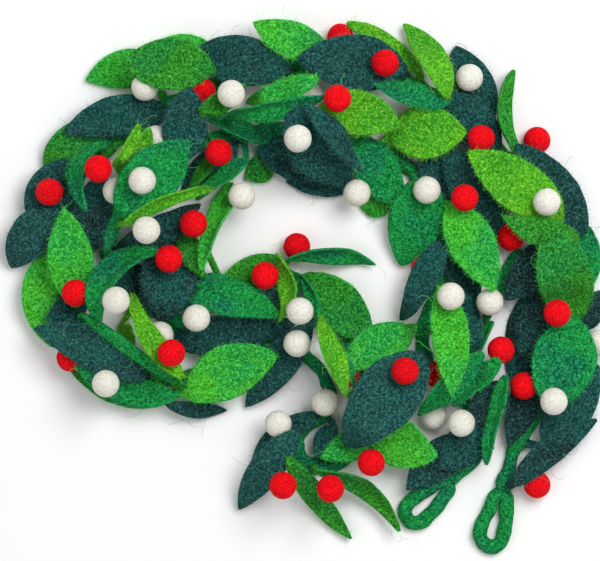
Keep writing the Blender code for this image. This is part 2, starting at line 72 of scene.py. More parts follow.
# All that is laid on it, lowest first. A leaf is (tone, root, tip, width, roll, bend), a ball (tone, place).
laid = [
    ("bright", (160, 64), (84, 78), 40, 0, -4), ("bright", (215, 54), (149, 50), 34, 10, -4),
    ("green", (118, 140), (42, 166), 52, 0, -8), ("dark", (46, 232), (68, 158), 54, 0, 6),
    ("bright", (46, 252), (50, 348), 36, 0, -10), ("dark", (82, 252), (102, 174), 42, 0, 0),
    ("green", (170, 398), (60, 352), 42, 0, 8), ("dark", (164, 404), (226, 412), 18, 20, -2),
    ("green", (282, 260), (216, 288), 34, 0, 0), ("green", (312, 276), (374, 338), 50, 0, -3),
    ("dark", (292, 276), (268, 322), 34, 0, 0), ("emerald", (302, 276), (318, 320), 14, 40, 4),
    ("dark", (318, 416), (252, 468), 26, 20, -7), ("dark", (474, 440), (407, 491), 40, 0, -4),
    ("green", (392, 208), (357, 194), 30, 0, 0), ("dark", (354, 184), (286, 180), 30, 10, 0),
    ("green", (272, 160), (245, 178), 28, 0, 0), ("emerald", (358, 144), (402, 204), 44, 0, 0),
    ("dark", (455, 245), (476, 312), 34, 0, 0), ("dark", (538, 290), (516, 388), 40, 15, 0),
    ("emerald", (524, 250), (486, 326), 22, 50, 0), ("emerald", (495, 322), (450, 400), 24, 50, 0),
    ("emerald", (585, 292), (593, 226), 30, 0, 0), ("dark", (580, 330), (604, 290), 30, 0, 0),
    ("dark", (540, 366), (510, 446), 34, 0, 0), ("teal", (546, 448), (602, 366), 46, 0, 0),
    ("dark", (490, 424), (440, 470), 42, 0, 0), ("dark", (424, 146), (466, 206), 42, 0, 0),
    ("dark", (448, 150), (508, 242), 46, 0, 0), ("dark", (330, 168), (255, 147), 44, 0, 0),
    ("dark", (234, 146), (180, 196), 38, 0, 0), ("dark", (112, 264), (152, 300), 36, 0, 0),
    ("dark", (86, 300), (46, 320), 28, 0, 0), ("dark", (334, 426), (316, 458), 24, 0, 0),
    ("dark", (456, 290), (478, 350), 30, 0, 0), ("dark", (552, 300), (520, 356), 36, 0, 0),
    ("dark", (506, 384), (470, 424), 34, 0, 0), ("dark", (560, 240), (506, 300), 40, 0, 0),
    ("emerald", (236, 284), (190, 282), 22, 20, 0), ("white", (112, 196)), ("white", (596, 338)),
    ("red", (514, 242)), ("red", (496, 345)), ("red", (519, 391)), ("white", (485, 307)),
    ("red", (534, 144)), ("red", (336, 40)), ("red", (432, 379)), ("white", (435, 422)),
    ("white", (283, 429)), ("red", (352, 369)), ("red", (292, 251)), ("white", (272, 52)),
    ("dark", (168, 112), (63, 132), 42, 0, -6), ("white", (151, 134)),
    ("lime", (122, 174), (150, 128), 28, 45, 0), ("lime", (116, 166), (141, 126), 16, 55, 0),
    ("emerald", (108, 143), (66, 180), 16, 40, -6), ("emerald", (98, 150), (86, 210), 24, 50, -10),
    ("dark", (286, 72), (187, 55), 50, 0, -4), ("bright", (326, 52), (253, 23), 38, 8, 2),
    ("lime", (422, 70), (347, 21), 28, 30, -1), ("dark", (490, 122), (457, 44), 48, 0, 2),
    ("dark", (432, 104), (500, 152), 48, 0, 8), ("green", (522, 156), (516, 68), 26, 50, 19),
    ("dark", (584, 236), (516, 144), 50, 0, -3), ("emerald", (157, 336), (197, 322), 32, 0, 0),
    ("dark", (168, 342), (298, 322), 42, 15, 0), ("dark", (310, 326), (245, 408), 38, 10, 0),
    ("emerald", (190, 300), (282, 318), 38, -25, 8), ("emerald", (430, 180), (402, 265), 56, 0, 0),
    ("red", (420, 264)), ("dark", (443, 242), (403, 320), 32, 25, 0),
    ("bright", (410, 328), (341, 366), 44, 15, 2), ("bright", (388, 430), (321, 459), 34, 0, 0),
    ("bright", (372, 424), (438, 456), 48, 0, -6), ("emerald", (352, 380), (325, 350), 20, 40, 0),
    ("dark", (176, 242), (160, 323), 56, 0, 0), ("green", (180, 228), (203, 276), 24, 0, 0),
    ("emerald", (288, 259), (376, 265), 24, 50, 11), ("emerald", (262, 142), (204, 115), 28, 40, 0),
    ("lime", (392, 132), (467, 132), 54, 0, 0), ("bright", (232, 182), (202, 270), 26, 45, 0),
    ("emerald", (248, 160), (196, 200), 24, 45, 0), ("lime", (120, 325), (131, 351), 20, 20, 0),
    ("red", (74, 361)), ("emerald", (176, 396), (76, 366), 30, 0, 9),
    ("teal", (142, 380), (33, 329), 40, 0, -8), ("emerald", (84, 313), (190, 385), 15, 20, -4),
    ("teal", (298, 432), (239, 512), 34, 0, -4), ("dark", (118, 250), (200, 204), 34, 20, -4),
    ("red", (202, 86)), ("white", (315, 89)), ("red", (481, 141)), ("white", (165, 340)),
    ("white", (140, 92)), ("green", (212, 68), (122, 66), 52, 0, -2),
    ("dark", (182, 160), (190, 88), 46, 0, 0), ("green", (218, 158), (188, 188), 16, 45, 0),
    ("emerald", (106, 252), (124, 198), 12, 0, 0), ("emerald", (120, 214), (189, 141), 56, 0, 0),
    ("teal", (58, 212), (10, 268), 44, 0, -6), ("bright", (76, 304), (64, 208), 46, 0, 0),
    ("lime", (126, 226), (213, 189), 20, 45, 8), ("emerald", (102, 322), (160, 252), 36, -40, 22),
    ("lime", (182, 376), (132, 293), 26, 35, 8), ("bright", (188, 396), (278, 356), 54, 0, 6),
    ("dark", (403, 66), (298, 59), 57, 0, 0), ("emerald", (448, 104), (374, 86), 26, 20, 0),
    ("lime", (448, 98), (404, 22), 32, 25, -6), ("lime", (318, 112), (400, 126), 46, 8, 6),
    ("green", (202, 112), (245, 84), 28, 40, 0), ("bright", (316, 80), (246, 100), 28, 30, 4),
    ("emerald", (228, 117), (325, 99), 24, 40, 0), ("dark", (292, 112), (346, 184), 64, 0, 0),
    ("dark", (306, 108), (362, 174), 20, -30, 0), ("lime", (276, 254), (279, 322), 26, 50, 15),
    ("lime", (344, 392), (321, 316), 28, 45, 4), ("emerald", (500, 360), (452, 406), 24, 35, 0),
    ("emerald", (482, 352), (418, 416), 30, -25, 0), ("teal", (424, 356), (347, 447), 64, 0, -4),
    ("green", (288, 458), (352, 541), 26, 20, -2), ("green", (314, 470), (400, 533), 24, 40, 18),
    ("bright", (450, 204), (493, 291), 48, 0, 2), ("bright", (441, 288), (450, 394), 38, 0, 4),
    ("lime", (560, 214), (467, 152), 52, 0, 0), ("green", (580, 238), (501, 216), 30, 20, 6),
    ("green", (578, 319), (548, 225), 55, 0, 2), ("emerald", (576, 320), (548, 412), 64, 0, 0),
    ("emerald", (507, 376), (486, 465), 22, 50, 0), ("red", (534, 484)),
    ("dark", (514, 486), (598, 420), 30, 15, 5), ("red", (103, 170)), ("red", (52, 197)),
    ("white", (142, 187)), ("red", (214, 148)), ("white", (237, 101)), ("red", (332, 106)),
    ("red", (380, 66)), ("white", (293, 136)), ("white", (357, 188)), ("white", (237, 196)),
    ("white", (465, 82)), ("white", (422, 190)), ("red", (469, 203)), ("white", (543, 200)),
    ("white", (144, 226)), ("red", (199, 229)), ("red", (165, 254)), ("red", (71, 288)),
    ("white", (114, 305)), ("white", (202, 313)), ("red", (168, 357)), ("white", (112, 378)),
    ("red", (270, 273)), ("white", (295, 306)), ("white", (302, 341)), ("white", (330, 403)),
    ("red", (399, 365)), ("white", (454, 301)), ("red", (551, 308)), ("white", (557, 403)),
    ("white", (466, 418)), ("red", (366, 457)), ("red", (288, 479)), ("red", (335, 482)),
]


# The camera, made before any piece: straight above, long lens, the picture's width at mid-height.
camera = {"height": 2.4, "focus": 0.03, "pictureWidth": 600, "pictureHeight": 561, "sensor": 36.0}


def planPlace(point):
    x = (point[0] - layout["middle"][0]) * layout["unit"]
    y = (layout["middle"][1] - point[1]) * layout["unit"]
    return np.array([x, y])


def boxMiddle(node):
    low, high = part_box(node)
    return (np.array(low) + np.array(high)) / 2


def makeCamera(shift):
    data = bpy.data.cameras.new("camera")
    data.sensor_width = camera["sensor"]
    wide = camera["pictureWidth"] * layout["unit"]
    data.lens = camera["sensor"] * (camera["height"] - camera["focus"]) / wide
    data.clip_end = 10.0
    cam = bpy.data.objects.new("camera", data)
    bpy.context.scene.collection.objects.link(cam)
    x, y = planPlace((camera["pictureWidth"] / 2, camera["pictureHeight"] / 2)) + shift
    cam.location = (x, y, camera["height"])
    bpy.context.scene.camera = cam


# Where things lie: the same pile as the solids, so every leaf and ball rests where they do.
def smoothRoute(points, step):
    points = [np.array(p, float) for p in points]
    padded = [2 * points[0] - points[1], *points, 2 * points[-1] - points[-2]]
    fine = []
    for a, b, c, d in zip(padded, padded[1:], padded[2:], padded[3:]):
        for t in np.linspace(0.0, 1.0, 16, endpoint=False):
            fine.append(0.5 * (2 * b + (c - a) * t + (2 * a - 5 * b + 4 * c - d) * t**2
                               + (3 * b - a - 3 * c + d) * t**3))
    fine = np.array([*fine, points[-1]])
    run = np.concatenate([[0.0], np.cumsum(np.linalg.norm(np.diff(fine, axis=0), axis=1))])
    stops = np.linspace(0.0, run[-1], round(run[-1] / step) + 1)
    return np.column_stack([np.interp(stops, run, fine[:, i]) for i in range(2)])


pile = {"count": round(2 * layout["field"] / layout["cell"]) + 1}
pile["top"] = np.zeros((pile["count"], pile["count"]))
pileAxis = np.linspace(-layout["field"], layout["field"], pile["count"])
pile["x"], pile["y"] = np.meshgrid(pileAxis, pileAxis, indexing="ij")


def pileCells(xy):
    index = np.rint((xy + layout["field"]) / layout["cell"]).astype(int)
    return index[..., 0], index[..., 1]


def layPoints(points):
    i, j = pileCells(points[:, :2])
    for di in (0, 1, -1):
        for dj in (0, 1, -1):
            np.maximum.at(pile["top"], (i + di, j + dj), points[:, 2])


def layCordRoute(route2d):
    radius = cordCut["radius"]
    for reach in np.linspace(0.0, radius, 5):
        for angle in np.linspace(0.0, 2 * math.pi, 12, endpoint=False):
            aside = reach * np.array([math.cos(angle), math.sin(angle)])
            layPoints(np.column_stack([route2d + aside, np.full(len(route2d), 2 * radius)]))


def ballDome(x, y):
    radius = ballCut["radius"]
    off = np.hypot(pile["x"] - x, pile["y"] - y)
    near = off < radius + layout["cell"]
    return near, np.sqrt(np.maximum(radius**2 - off[near] ** 2, 0.0))


# A ball rolls a little, to the lowest rest near its place.
def dropBall(centre):
    found = []
    rolls = np.linspace(-ballCut["roll"], ballCut["roll"], ballCut["rollSteps"])
    for dx in rolls:
        for dy in rolls:
            near, dome = ballDome(centre[0] + dx, centre[1] + dy)
            z = max(ballCut["radius"], (pile["top"][near] + dome).max() + felt["gap"])
            found.append((round(z, 5), math.hypot(dx, dy), centre[0] + dx, centre[1] + dy))
    z, _, x, y = min(found)
    near, dome = ballDome(x, y)
    pile["top"][near] = np.maximum(pile["top"][near], z + dome)
    return np.array([x, y, z])


# Half a leaf's width along its length, as a share of its full width: fullest a little before the middle.
outline = {"first": 0.06, "span": 0.9, "skew": 0.88, "full": 0.85, "tip": 0.03}


def halfWidth(u):
    if u >= 1:
        return outline["tip"]
    turn = min(1.0, outline["first"] + outline["span"] * u ** outline["skew"])
    return 0.5 * math.sin(math.pi * turn) ** outline["full"]


def leafFrame(leaf):
    root, tip = planPlace(leaf["root"]), planPlace(leaf["tip"])
    along = tip - root
    return root, along, np.array([-along[1], along[0]]) / np.linalg.norm(along)


def leafPoint(leaf, u, across):
    root, along, side = leafFrame(leaf)
    roll = math.radians(leaf["roll"])
    reach = halfWidth(u) * leaf["width"] * layout["unit"] * across
    bow = 4 * u * (1 - u) * leaf["bend"] * layout["unit"]
    place = root + along * u + side * (bow + reach * math.cos(roll))
    return place, abs(reach) * felt["cup"] + reach * math.sin(roll)


def restingHeights(leaf):
    stations = felt["stations"]
    needs = []
    for low, high in zip((stations[0], *stations), (*stations, stations[-1])):
        need = 0.0
        for u in np.linspace(low, high, layout["probes"][0]):
            for across in np.linspace(-1.0, 1.0, layout["probes"][1]):
                place, rise = leafPoint(leaf, u, across)
                need = max(need, pile["top"][pileCells(place)] - rise)
        needs.append(need)
    needs = [max(a, b) for a, b in zip(needs, needs[1:])]
    spans = []
    for k, need in enumerate(needs):
        best = need
        for i in range(k):
            for j in range(k + 1, len(needs)):
                t = (stations[k] - stations[i]) / (stations[j] - stations[i])
                best = max(best, needs[i] * (1 - t) + needs[j] * t)
        spans.append(best)
    lift = felt["thickness"] / 2 + felt["gap"]
    return [a + felt["stiffness"] * (b - a) + lift for a, b in zip(needs, spans)]


def stemClear(obstacles, start, end):
    for centre, radius in obstacles:
        t = np.clip((centre - start) @ (end - start) / ((end - start) @ (end - start)), 0.0, 1.0)
        if np.linalg.norm(start + t * (end - start) - centre) < radius + stemCut["room"]:
            return False
    return True


def stemStart(cordLine, root, along, obstacles):
    gaps = np.linalg.norm(cordLine - root[:2], axis=1)
    behind = (root[:2] - cordLine) @ along > stemCut["lean"] * gaps * np.linalg.norm(along)
    for index in gaps.argsort():
        start = np.array([*cordLine[index], cordCut["radius"]])
        if gaps[index] < stemCut["reach"] and behind[index] and stemClear(obstacles, start, root):
            return start
    return None


def tieEnds(cordLine, middles, obstacles):
    found = []
    for middle in middles:
        gaps = np.linalg.norm(cordLine - middle[:2], axis=1)
        for index in gaps.argsort()[: stemCut["tries"]]:
            start = np.array([*cordLine[index], cordCut["radius"]])
            if stemClear(obstacles, start, middle):
                found.append((gaps[index], tuple(start), tuple(middle)))
                break
    length, start, end = min(found)
    return np.array(start), np.array(end)


def leafRows(leaf, heights):
    ribbed = abs(leaf["roll"]) < felt["ribbedRoll"] and leaf["width"] * layout["unit"] > felt["ribbedWidth"]
    steps = (-1.0, 0.0, 1.0) if ribbed else (-1.0, 1.0)
    rows = []
    for u, height in zip(felt["stations"], heights):
        row = [leafPoint(leaf, u, across) for across in steps]
        rows.append([np.array([*place, height + rise]) for place, rise in row])
    return rows, steps


def layLeaf(rows):
    found = []
    for here, there in zip(rows, rows[1:]):
        for t in np.linspace(0.0, 1.0, layout["lay"][0]):
            row = [a * (1 - t) + b * t for a, b in zip(here, there)]
            for left, right in zip(row, row[1:]):
                found += [left * (1 - s) + right * s for s in np.linspace(0.0, 1.0, layout["lay"][1])]
    found = np.array(found)
    found[:, 2] += felt["thickness"] / 2
    layPoints(found)


def loopRoute(neck, toward):
    ahead = toward / np.linalg.norm(toward)
    side = np.array([-ahead[1], ahead[0]])
    near = neck + ahead * (loopCut["neck"] + cordCut["radius"] + loopCut["gap"])
    far = near + ahead * loopCut["length"]
    lean = math.asin((loopCut["end"] - loopCut["neck"]) / loopCut["length"])
    quarter = math.pi / 2
    points = []
    for angle in np.linspace(-quarter - lean, quarter + lean, loopCut["points"] // 2):
        points.append(far + loopCut["end"] * (ahead * math.cos(angle) + side * math.sin(angle)))
    points.append(0.5 * (points[-1] + near + loopCut["neck"] * side))
    for angle in np.linspace(quarter + lean, 3 * quarter - lean, loopCut["points"] // 3):
        points.append(near + loopCut["neck"] * (ahead * math.cos(angle) + side * math.sin(angle)))
    points.append(0.5 * (points[0] + near - loopCut["neck"] * side))
    return np.array(points)


cordEnds = smoothRoute([planPlace(p) for p in route], loopCut["step"])
cordLine = smoothRoute([planPlace(p) for p in route], layout["cell"])
loopRoutes = [
    loopRoute(cordEnds[0], cordEnds[0] - cordEnds[1]),
    loopRoute(cordEnds[-1], cordEnds[-1] - cordEnds[-2]),
]
layCordRoute(cordLine)
for loopLine in loopRoutes:
    layCordRoute(smoothRoute([*loopLine, loopLine[0]], layout["cell"]))
obstacles = [(np.array([*p, cordCut["radius"]]), cordCut["radius"]) for line in loopRoutes for p in line]
leaves, balls = [], []
for item in laid:
    if len(item) == 2:
        centre = dropBall(planPlace(item[1]))
        obstacles.append((centre, ballCut["radius"]))
        balls.append({"tone": item[0], "centre": centre})
        continue
    leaf = dict(zip(("tone", "root", "tip", "width", "roll", "bend"), item))
    heights = restingHeights(leaf)
    rows, steps = leafRows(leaf, heights)
    middles = [sum(row) / len(row) for row in rows]
    start = stemStart(cordLine, middles[0], leafFrame(leaf)[1], obstacles)
    leaf.update(heights=heights, start=start, tie=None)
    if start is None:
        leaf["tie"] = tieEnds(cordLine, middles[1:-1], obstacles)
    else:
        sideways = np.array([*leafFrame(leaf)[2], 0.0]) * stemCut["halfWidth"]
        rows.insert(0, [start + sideways * across for across in steps])
    layLeaf(rows)
    leaves.append(leaf)
print(f"laid {len(leaves)} leaves and {len(balls)} balls")

# The solids' origin is under the garland's middle: the first ball tells how far the layout moves.
shift = boxMiddle(f"ball_{balls[0]['tone']}_01")[:2] - balls[0]["centre"][:2]
makeCamera(shift)


# Felt: a base colour broken up by fine fibres, paler stray hairs, a second dye in patches, soft sheen, a painted
# highlight along the leaves' cut edges, and painted shade on some low-lying leaves.
tones = {
    # the last colour of each tone is a painted highlight for the cut edges and tips; the dark tone's charcoal colour
    # is the near black of the listed leaves, partly dye and partly painted shade
    "dark": {"deep": (0.002, 0.014, 0.014), "base": (0.010, 0.070, 0.064), "pale": (0.045, 0.200, 0.180),
             "patch": (0.006, 0.082, 0.070), "other": (0.012, 0.028, 0.029), "rimHighlight": (0.018, 0.100, 0.090)},
    "teal": {"deep": (0.003, 0.022, 0.021), "base": (0.012, 0.085, 0.074), "pale": (0.055, 0.230, 0.200),
             "patch": (0.009, 0.100, 0.076), "other": (0.012, 0.055, 0.058), "rimHighlight": (0.022, 0.140, 0.115)},
    "emerald": {"deep": (0.001, 0.060, 0.018), "base": (0.005, 0.250, 0.048), "pale": (0.035, 0.500, 0.130),
                "patch": (0.004, 0.150, 0.080), "other": (0.008, 0.300, 0.044), "rimHighlight": (0.006, 0.400, 0.120)},
    "green": {"deep": (0.005, 0.070, 0.007), "base": (0.018, 0.260, 0.018), "pale": (0.09, 0.54, 0.06),
              "patch": (0.007, 0.200, 0.040), "other": (0.028, 0.240, 0.014), "rimHighlight": (0.02, 0.40, 0.06)},
    "bright": {"deep": (0.008, 0.15, 0.012), "base": (0.030, 0.44, 0.028), "pale": (0.13, 0.76, 0.10),
               "patch": (0.010, 0.33, 0.060), "other": (0.060, 0.44, 0.016), "rimHighlight": (0.025, 0.60, 0.12)},
    "lime": {"deep": (0.024, 0.17, 0.004), "base": (0.105, 0.45, 0.012), "pale": (0.28, 0.74, 0.05),
             "patch": (0.030, 0.33, 0.018), "other": (0.060, 0.38, 0.014), "rimHighlight": (0.05, 0.54, 0.04)},
    "white": {"deep": (0.64, 0.62, 0.51), "base": (0.80, 0.79, 0.71), "pale": (0.88, 0.87, 0.82),
              "patch": (0.76, 0.74, 0.64), "other": (0.72, 0.69, 0.57), "rimHighlight": (0.86, 0.85, 0.78)},
    "red": {"deep": (0.50, 0.0005, 0.003), "base": (0.90, 0.001, 0.007), "pale": (0.98, 0.010, 0.016),
            "patch": (0.72, 0.0005, 0.008), "other": (0.80, 0.001, 0.006), "rimHighlight": (0.95, 0.004, 0.010)},
}
# Each noise is (scale, detail, roughness, distortion), each band where a layer starts and where it is full.
feltNoise = {"fibre": (560.0, 5.0, 0.72, 0.6), "patch": (26.0, 2.0, 0.5, 0.0), "hair": (150.0, 1.5, 0.4, 1.2),
             "hairBreak": (52.5, 2.0, 0.6, 0.0), "lump": (90.0, 3.0, 0.55, 0.0)}
feltBand = {"hairLine": (0.0, 0.012), "hairBreak": (0.5, 0.62), "patch": (0.46, 0.64), "rimHighlight": (0.80, 1.0),
            "deep": (0.38, 0.53), "pale": (0.51, 0.67)}
feltLook = {"rimHighlight": 0.75, "hair": 0.55, "roughness": 0.95, "sheen": 0.08, "sheenRoughness": 0.55,
            "shine": 0.15, "bump": 0.7, "bumpDepth": 0.0009, "fibreRelief": 0.6, "lumpRelief": 0.5, "hairRelief": 0.2}


def feltMaterial(tone, smooth=1.0):
    name = f"felt{tone.capitalize()}{'Ball' if smooth < 1 else ''}"
    if name in bpy.data.materials:
        return bpy.data.materials[name]
    colours = {k: (*v, 1.0) for k, v in tones[tone].items()}
    material = bpy.data.materials.new(name)
    material.use_nodes = True
    tree = material.node_tree
    shader = tree.nodes["Principled BSDF"]
    place = tree.nodes.new("ShaderNodeTexCoord").outputs["Object"]

    def link(a, b):
        tree.links.new(a, b)

    def noiseOf(layer):
        node = tree.nodes.new("ShaderNodeTexNoise")
        for socket, value in zip(("Scale", "Detail", "Roughness", "Distortion"), feltNoise[layer]):
            node.inputs[socket].default_value = value
        link(place, node.inputs["Vector"])
        return node.outputs["Fac"]

    def ranged(value, band, toLow=0.0, toHigh=1.0):
        node = tree.nodes.new("ShaderNodeMapRange")
        node.inputs["From Min"].default_value, node.inputs["From Max"].default_value = feltBand[band]
        node.inputs["To Min"].default_value = toLow
        node.inputs["To Max"].default_value = toHigh
        link(value, node.inputs["Value"])
        return node.outputs["Result"]

    def maths(kind, a, b):
        node = tree.nodes.new("ShaderNodeMath")
        node.operation = kind
        for socket, value in zip(node.inputs, (a, b)):
            if isinstance(value, (int, float)):
                socket.default_value = value
            else:
                link(value, socket)
        return node.outputs[0]

    def mixed(factor, a, b):
        node = tree.nodes.new("ShaderNodeMix")
        node.data_type = "RGBA"
        link(factor, node.inputs["Factor"])
        for socket, value in ((node.inputs["A"], a), (node.inputs["B"], b)):
            if isinstance(value, tuple):
                socket.default_value = value
            else:
                link(value, socket)
        return node.outputs["Result"]

    fibres, patches, wander = noiseOf("fibre"), noiseOf("patch"), noiseOf("hair")
    hairMask, lumps = noiseOf("hairBreak"), noiseOf("lump")
    # A contour line of a slow noise winds like a single stray hair, and the mask cuts it to lengths.
    hairLine = ranged(maths("ABSOLUTE", maths("SUBTRACT", wander, 0.5), 0.0), "hairLine", 1.0, 0.0)
    hairs = maths("MULTIPLY", hairLine, ranged(hairMask, "hairBreak"))
    # "cut" holds how near a point is to the cut edge, which drives a painted highlight there, then this leaf's tint:
    # a random dye tone, and nearly black for the listed leaves, partly charcoal dye and partly painted shade.
    cut = tree.nodes.new("ShaderNodeAttribute")
    cut.attribute_name = "cut"
    parts = tree.nodes.new("ShaderNodeSeparateColor")
    link(cut.outputs["Color"], parts.inputs["Color"])
    # the second colour is a random tint, and for the listed dark leaves a near black that is partly painted shade
    dyeAndPaintedShade = mixed(parts.outputs["Green"], colours["base"], colours["other"])
    ground = mixed(ranged(patches, "patch"), dyeAndPaintedShade, colours["patch"])
    # painted highlight: the cut edges and the tip are painted paler, standing for light caught by the edge fibres
    rimHighlightShare = maths("MULTIPLY", ranged(parts.outputs["Red"], "rimHighlight"), feltLook["rimHighlight"])
    rimHighlighted = mixed(rimHighlightShare, ground, colours["rimHighlight"])
    shaded = mixed(ranged(fibres, "deep"), colours["deep"], rimHighlighted)
    lit = mixed(ranged(fibres, "pale"), shaded, colours["pale"])
    final = mixed(maths("MULTIPLY", hairs, feltLook["hair"]), lit, colours["pale"])
    link(final, shader.inputs["Base Color"])
    shader.inputs["Roughness"].default_value = feltLook["roughness"]
    shader.inputs["Sheen Weight"].default_value = feltLook["sheen"]
    shader.inputs["Sheen Roughness"].default_value = feltLook["sheenRoughness"]
    shader.inputs["Sheen Tint"].default_value = colours["pale"]
    shader.inputs["Specular IOR Level"].default_value = feltLook["shine"]
    lumpHeight = maths("MULTIPLY", lumps, feltLook["lumpRelief"])
    coarse = maths("ADD", lumpHeight, maths("MULTIPLY", hairs, feltLook["hairRelief"]))
    height = maths("ADD", maths("MULTIPLY", fibres, feltLook["fibreRelief"]), coarse)
    bump = tree.nodes.new("ShaderNodeBump")
    bump.inputs["Strength"].default_value = feltLook["bump"] * smooth
    bump.inputs["Distance"].default_value = feltLook["bumpDepth"]
    link(height, bump.inputs["Height"])
    link(bump.outputs["Normal"], shader.inputs["Normal"])
    return material


def placePiece(name, mesh):
    obj = bpy.data.objects.new(name, mesh)
    bpy.context.scene.collection.objects.link(obj)
    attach(obj, "root")
    return obj


def feltPiece(name, points, faces, tone):
    mesh = bpy.data.meshes.new(name)
    mesh.from_pydata([tuple(p) for p in points], [], faces)
    mesh.shade_smooth()
    mesh.materials.append(feltMaterial(tone))
    return placePiece(name, mesh)


def ringFaces(rings, sides, closed=False):
    faces = []
    for k in range(rings if closed else rings - 1):
        for m in range(sides):
            n = (m + 1) % sides
            nextRing = (k + 1) % rings
            faces.append((k * sides + m, nextRing * sides + m, nextRing * sides + n, k * sides + n))
    if not closed:
        faces.append(tuple(range(sides)))
        faces.append(tuple(reversed(range((rings - 1) * sides, rings * sides))))
    return faces


def softNoise(point, scale):
    return noise.noise(Vector(point) * scale)


# The cord: rolled wool, uneven, with a slow twist and a knot wherever a leaf is felted on. Its ends run a
# little into the loops.
cordLook = {"sides": 18, "rings": 0.002, "loopRings": 0.0016, "intoLoop": 0.0022,
            "stout": 0.94, "loopStout": 1.06, "knot": 0.0020, "knotReach": 0.0065, "least": 0.0002,
            "lump": 0.20, "lumpScale": 130.0, "pit": 0.05, "pitScale": 420.0, "probe": 0.004,
            "strand": 0.07, "strands": 3, "twist": 260.0}
restHeight = cordCut["radius"] * math.cos(cordCut["flatTurn"])


def cordSurface(line, knots, closed, stout):
    look = cordLook
    tangents = np.roll(line, -1, axis=0) - np.roll(line, 1, axis=0) if closed else np.gradient(line, axis=0)
    tangents /= np.linalg.norm(tangents, axis=1, keepdims=True)
    points = []
    run = 0.0
    for k, (place, ahead) in enumerate(zip(line, tangents)):
        run += np.linalg.norm(place - line[k - 1]) if k else 0.0
        away = [np.linalg.norm(place - knot) / look["knotReach"] for knot in knots]
        swell = max((math.exp(-(gap**2)) for gap in away), default=0.0)
        base = cordCut["radius"] * stout + look["knot"] * swell
        for angle in np.linspace(0.0, 2 * math.pi, look["sides"], endpoint=False):
            aside = np.array([-ahead[1], ahead[0]]) * math.cos(angle)
            up = math.sin(angle)
            probe = (*(place + aside * look["probe"]), up * look["probe"] + 0.3)
            lump = look["lump"] * softNoise(probe, look["lumpScale"])
            lump += look["pit"] * softNoise(probe, look["pitScale"])
            strand = look["strand"] * math.sin(look["strands"] * angle + run * look["twist"])
            radius = base * (1 + lump + strand)
            z = max(look["least"], restHeight + radius * up)
            points.append((*(place + aside * radius + shift), z))
    return points


def makeCord():
    line = smoothRoute([planPlace(p) for p in route], cordLook["rings"])
    reach = cordLook["intoLoop"] / cordLook["rings"]
    first, last = line[0] + (line[0] - line[1]) * reach, line[-1] + (line[-1] - line[-2]) * reach
    line = np.array([first, *line, last])
    knots = [leaf["start"][:2] for leaf in leaves if leaf["start"] is not None]
    points = cordSurface(line, knots, False, cordLook["stout"])
    cord = feltPiece("feltedCord", points, ringFaces(len(line), cordLook["sides"]), "emerald")
    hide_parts("vine")
    return cord, [(*(p + shift), restHeight) for p in line]


def makeLoop(name, node, line):
    fine = smoothRoute([*line, line[0]], cordLook["loopRings"])[:-1]
    points = cordSurface(fine, [], True, cordLook["loopStout"])
    loop = feltPiece(name, points, ringFaces(len(fine), cordLook["sides"], True), "emerald")
    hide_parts(node)
    return loop


cord, cordPath = makeCord()
loops = [
    makeLoop("hangingLoopOuter", "loop_outer", loopRoutes[0]),
    makeLoop("hangingLoopInner", "loop_inner", loopRoutes[1]),
]
print("cord and its two loops laid")


# Leaves: cut from thick felt, cupped along the midrib, edges rounded by wear, tips lifting a little.
leafShape = {"rows": 30, "stemRows": 10, "across": 9, "easeCentres": 3, "easeSides": 2, "leastHalf": 0.0006,
             "cup": 0.22, "fold": 0.34, "foldRoll": 30, "crease": 0.52, "creaseRoll": 40, "cupPower": 1.3,
             "wave": 0.0016, "waves": (0.7, 1.5), "wavePhase": 1.6, "tipLift": 0.004, "liftFrom": 0.7,
             "point": 0.8, "pointPower": 0.8, "pointWidth": 0.02, "rimPower": 5, "tipRound": (0.004, 0.12),
             "rootRound": (0.003, 0.2), "ragged": 0.035, "raggedScale": (9, 2), "dimple": 0.0004,
             "dimpleScale": 90.0, "tieRings": 6, "tieSides": 10, "darkShade": 0.4,
             "leastWide": 0.010, "leastShare": 0.31,
             # leaves painted nearly black: partly their charcoal dye, partly painted shade where they lie low in the
             # pile
             "nearBlackDyeAndShade": (6, 14, 20, 24, 25, 27, 32, 36, 37, 38, 62, 74, 109)}


def smoothed(values, reach):
    kernel = np.hanning(2 * reach + 3)[1:-1]
    kernel /= kernel.sum()
    before, after = 2 * values[0] - values[reach:0:-1], 2 * values[-1] - values[-2 : -reach - 2 : -1]
    padded = np.concatenate([before, values, after])
    return np.column_stack([np.convolve(padded[:, i], kernel, "valid") for i in range(values.shape[1])])


def cutHalfWidth(u):
    if u <= leafShape["point"]:
        return halfWidth(u)
    t = (u - leafShape["point"]) / (1 - leafShape["point"])
    return halfWidth(leafShape["point"]) * (1 - t) ** leafShape["pointPower"] + leafShape["pointWidth"] * t


fuzzRoots = {tone: [] for tone in tones}


